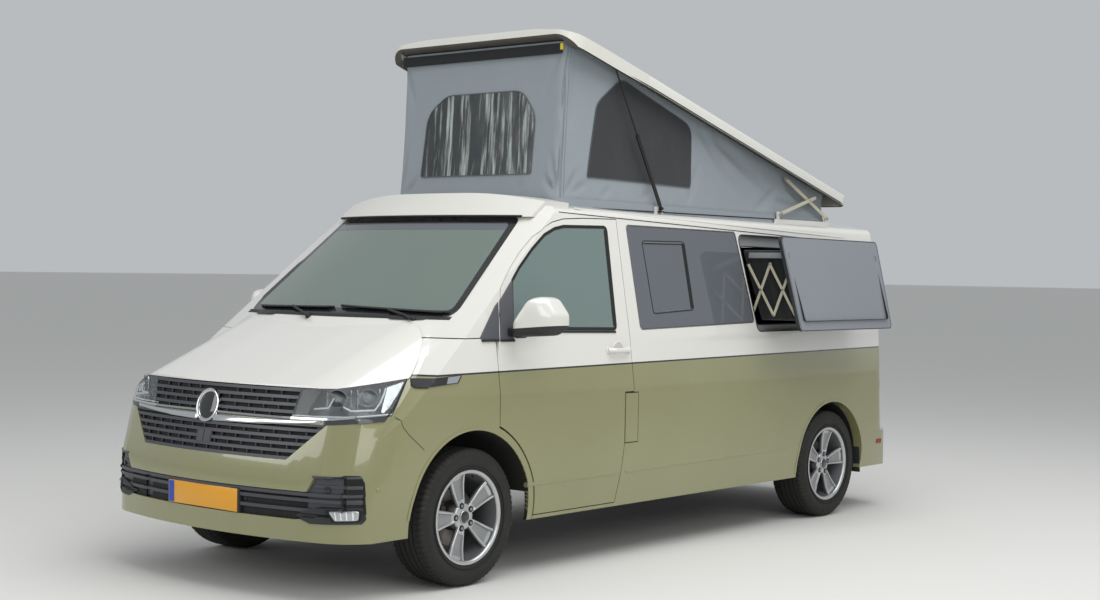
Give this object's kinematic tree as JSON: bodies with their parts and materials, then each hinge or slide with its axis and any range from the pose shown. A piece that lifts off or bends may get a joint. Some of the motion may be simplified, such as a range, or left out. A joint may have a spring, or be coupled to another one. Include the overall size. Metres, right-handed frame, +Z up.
{
  "type": "camper van",
  "caption": "Two-tone camper van with raised pop-top shell on a cloth wall, slide-out window pod, opening doors, bonnet and tailgate, and steered, turning wheels.",
  "frame": {"origin": "on the ground, in the vehicle's centre plane, midway between the front and rear bumpers", "axes": "+X forward, +Y to the vehicle's left, +Z up"},
  "size_m": [5.304, 2.3602, 2.8901],
  "materials": {
    "two_tone_paint": "gloss, warm white above the waist line",
    "white_paint": "gloss",
    "white_fibreglass": "gloss gelcoat",
    "clear_glass": "clear",
    "dark_glass": "tinted",
    "lamp_lens": "clear",
    "red_lens": "gloss",
    "black_plastic": "satin",
    "cast_iron": "rough",
    "chassis_steel": "satin",
    "canvas_cloth": "matt weave",
    "strut_steel": "satin",
    "rod_chrome": "polished",
    "cream_steel": "satin",
    "grey_panel": "gloss",
    "grey_plastic": "satin",
    "black_cloth": "matt",
    "tyre_rubber": "matt",
    "alloy": "satin",
    "dash_plastic": "grained",
    "wheel_leather": "grained",
    "seat_cloth": "woven",
    "cabinet_board": "laminate"
  },
  "bodies": {
    "body": {"side_left": "two_tone_paint", "side_right": "two_tone_paint", "sliding_door": "two_tone_paint", "side_glass": "dark_glass", "tail_lamps": "red_lens", "rear_bumper": "two_tone_paint", "front_bumper": "two_tone_paint", "wing_left": "two_tone_paint", "wing_right": "two_tone_paint", "headlamps": "lamp_lens", "grille": "black_plastic", "lower_intake": "black_plastic", "front_frame": "white_paint", "bulkhead": "chassis_steel", "windscreen": "clear_glass", "engine": "cast_iron", "roof": "white_paint", "roof_cap": "white_fibreglass", "canvas": "canvas_cloth", "roof_brackets": "cream_steel", "pod_frame": "grey_plastic", "pod_bellows": "black_cloth", "pod_lattice": "cream_steel", "front_subframe": "chassis_steel", "rear_axle": "chassis_steel", "floor": "chassis_steel", "dashboard": "dash_plastic", "steering_wheel": "wheel_leather", "front_seats": "seat_cloth", "rear_bench": "seat_cloth", "cabinet": "cabinet_board"},
    "door_left": {"door_left": "two_tone_paint", "door_left_glass": "clear_glass", "mirror_left": "white_paint"},
    "door_right": {"door_right": "two_tone_paint", "door_right_glass": "clear_glass", "mirror_right": "white_paint"},
    "bonnet": {"bonnet": "white_paint"},
    "tailgate": {"tailgate": "two_tone_paint", "tailgate_glass": "dark_glass"},
    "filler_flap": {"filler_flap": "two_tone_paint"},
    "roof_shell": {"roof_shell": "white_fibreglass"},
    "strut_tubes": {"strut_tubes": "strut_steel"},
    "strut_rods": {"strut_rods": "rod_chrome"},
    "scissor_a": {"scissor_bars_a": "cream_steel"},
    "scissor_b": {"scissor_bars_b": "cream_steel"},
    "pod_panel": {"pod_panel": "grey_panel"},
    "knuckle_left": {"knuckle_left": "cast_iron"},
    "knuckle_right": {"knuckle_right": "cast_iron"},
    "wheel_front_left": {"tyre_front_left": "tyre_rubber", "rim_front_left": "alloy"},
    "wheel_front_right": {"tyre_front_right": "tyre_rubber", "rim_front_right": "alloy"},
    "wheel_rear_left": {"tyre_rear_left": "tyre_rubber", "rim_rear_left": "alloy"},
    "wheel_rear_right": {"tyre_rear_right": "tyre_rubber", "rim_rear_right": "alloy"}
  },
  "joints": [
    {"name": "steer_left", "type": "hinge", "parent": "body", "child": "knuckle_left", "pos_m": [1.744, 0.735, 0.34], "axis": [0, 0, 1], "range_deg": [-35, 35]},
    {"name": "steer_right", "type": "hinge", "parent": "body", "child": "knuckle_right", "pos_m": [1.744, -0.735, 0.34], "axis": [0, 0, 1], "range_deg": [-35, 35]},
    {"name": "wheel_front_left", "type": "hinge", "parent": "knuckle_left", "child": "wheel_front_left", "pos_m": [1.744, 0.814, 0.34], "axis": [0, 1, 0], "continuous": true},
    {"name": "wheel_front_right", "type": "hinge", "parent": "knuckle_right", "child": "wheel_front_right", "pos_m": [1.744, -0.814, 0.34], "axis": [0, 1, 0], "continuous": true},
    {"name": "wheel_rear_left", "type": "hinge", "parent": "body", "child": "wheel_rear_left", "pos_m": [-1.656, 0.814, 0.34], "axis": [0, 1, 0], "continuous": true},
    {"name": "wheel_rear_right", "type": "hinge", "parent": "body", "child": "wheel_rear_right", "pos_m": [-1.656, -0.814, 0.34], "axis": [0, 1, 0], "continuous": true},
    {"name": "door_left_hinge", "type": "hinge", "parent": "body", "child": "door_left", "pos_m": [1.554, 0.955, 0.8], "axis": [0, 0, -1], "range_deg": [0, 70]},
    {"name": "door_right_hinge", "type": "hinge", "parent": "body", "child": "door_right", "pos_m": [1.554, -0.955, 0.8], "axis": [0, 0, 1], "range_deg": [0, 70]},
    {"name": "bonnet_hinge", "type": "hinge", "parent": "body", "child": "bonnet", "pos_m": [1.836, 0, 1.29], "axis": [0, -1, 0], "range_deg": [0, 50]},
    {"name": "tailgate_hinge", "type": "hinge", "parent": "body", "child": "tailgate", "pos_m": [-2.518, 0, 1.75], "axis": [0, 1, 0], "range_deg": [0, 85]},
    {"name": "filler_flap_hinge", "type": "hinge", "parent": "body", "child": "filler_flap", "pos_m": [0.415, 0.957, 0.76], "axis": [0, 0, 1], "range_deg": [0, 90]},
    {"name": "roof_lift", "type": "hinge", "parent": "body", "child": "roof_shell", "pos_m": [-2.59551, 0, 2.36829], "axis": [0, 1, 0], "range_deg": [0, 15], "deforming": ["canvas"]},
    {"name": "strut_swing", "type": "hinge", "parent": "body", "child": "strut_tubes", "pos_m": [-0.126, 0, 1.927], "axis": [0, 1, 0], "range_deg": [0, 58.9]},
    {"name": "strut_stroke", "type": "slide", "parent": "strut_tubes", "child": "strut_rods", "axis": [-0.5056, 0, -0.8628], "range_m": [0, 0.365]},
    {"name": "scissor_a_swing", "type": "hinge", "parent": "body", "child": "scissor_a", "pos_m": [-1.992, 0, 1.93], "axis": [0, 1, 0], "range_deg": [0, 24.8]},
    {"name": "scissor_b_swing", "type": "hinge", "parent": "body", "child": "scissor_b", "pos_m": [-1.406, 0, 1.944], "axis": [0, 1, 0], "range_deg": [-15.8, 0]},
    {"name": "pod_slide", "type": "slide", "parent": "body", "child": "pod_panel", "axis": [0, 1, 0], "range_m": [-0.3, 0], "deforming": ["pod_bellows", "pod_lattice"]}
  ],
  "couplings": [
    {"joint": "steer_right", "follows": "steer_left", "ratio": 1},
    {"joint": "strut_swing", "follows": "roof_lift", "ratio": 3.9232},
    {"joint": "strut_stroke", "follows": "roof_lift", "m_per_rad": 1.394},
    {"joint": "scissor_a_swing", "follows": "roof_lift", "ratio": 1.6479},
    {"joint": "scissor_b_swing", "follows": "roof_lift", "ratio": -1.0532}
  ]
}
